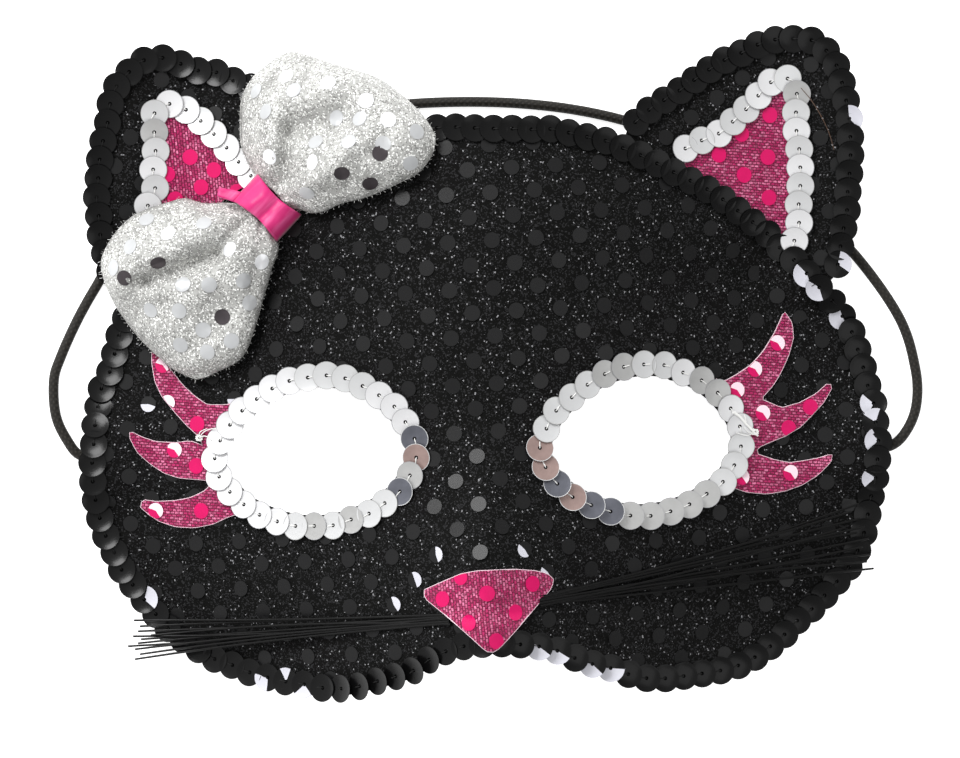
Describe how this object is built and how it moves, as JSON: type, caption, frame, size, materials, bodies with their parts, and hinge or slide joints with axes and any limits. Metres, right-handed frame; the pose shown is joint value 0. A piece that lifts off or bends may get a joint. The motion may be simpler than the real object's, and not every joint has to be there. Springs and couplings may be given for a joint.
{
  "type": "cat half mask",
  "caption": "Moulded cat half mask with ears, two eye openings, sequin strings, knit lashes and nose, whiskers, a cloth bow and an elastic cord.",
  "frame": {"origin": "middle of the mask's outline, on the surface that its side rims rest on", "axes": "+X to the right as seen from the front, +Y towards the ears, +Z out of the front of the mask"},
  "size_m": [0.1878, 0.145, 0.0439],
  "materials": {
    "black_glitter_felt": "glitter knit over moulded felt, with flat round spangles",
    "black_sequin": "glossy cupped sequins",
    "silver_sequin": "mirror silver cupped sequins",
    "pink_knit": "fine pink metallic knit with bright pink dots",
    "silver_glitter_cloth": "silver and white glitter cloth with round spangles",
    "pink_satin": "satin ribbon",
    "black_bristle": "thin nylon bristles",
    "black_elastic": "round braided elastic",
    "black_tab": "plain"
  },
  "bodies": {
    "root": {"face_shell": "black_glitter_felt", "ear_left": "black_glitter_felt", "ear_right": "black_glitter_felt", "rim_sequins": "black_sequin", "ear_sequins_left": "black_sequin", "ear_sequins_right": "black_sequin", "ear_silver_left": "silver_sequin", "ear_silver_right": "silver_sequin", "eye_ring_left": "silver_sequin", "eye_ring_right": "silver_sequin", "ear_patch_left": "pink_knit", "ear_patch_right": "pink_knit", "lash_patch_left": "pink_knit", "lash_patch_right": "pink_knit", "nose_patch": "pink_knit", "whiskers_left": "black_bristle", "whiskers_right": "black_bristle", "bow_loop_upper": "silver_glitter_cloth", "bow_loop_lower": "silver_glitter_cloth", "bow_knot": "pink_satin", "elastic_cord": "black_elastic", "cord_anchor_left": "black_tab", "cord_anchor_right": "black_tab"}
  },
  "joints": []
}
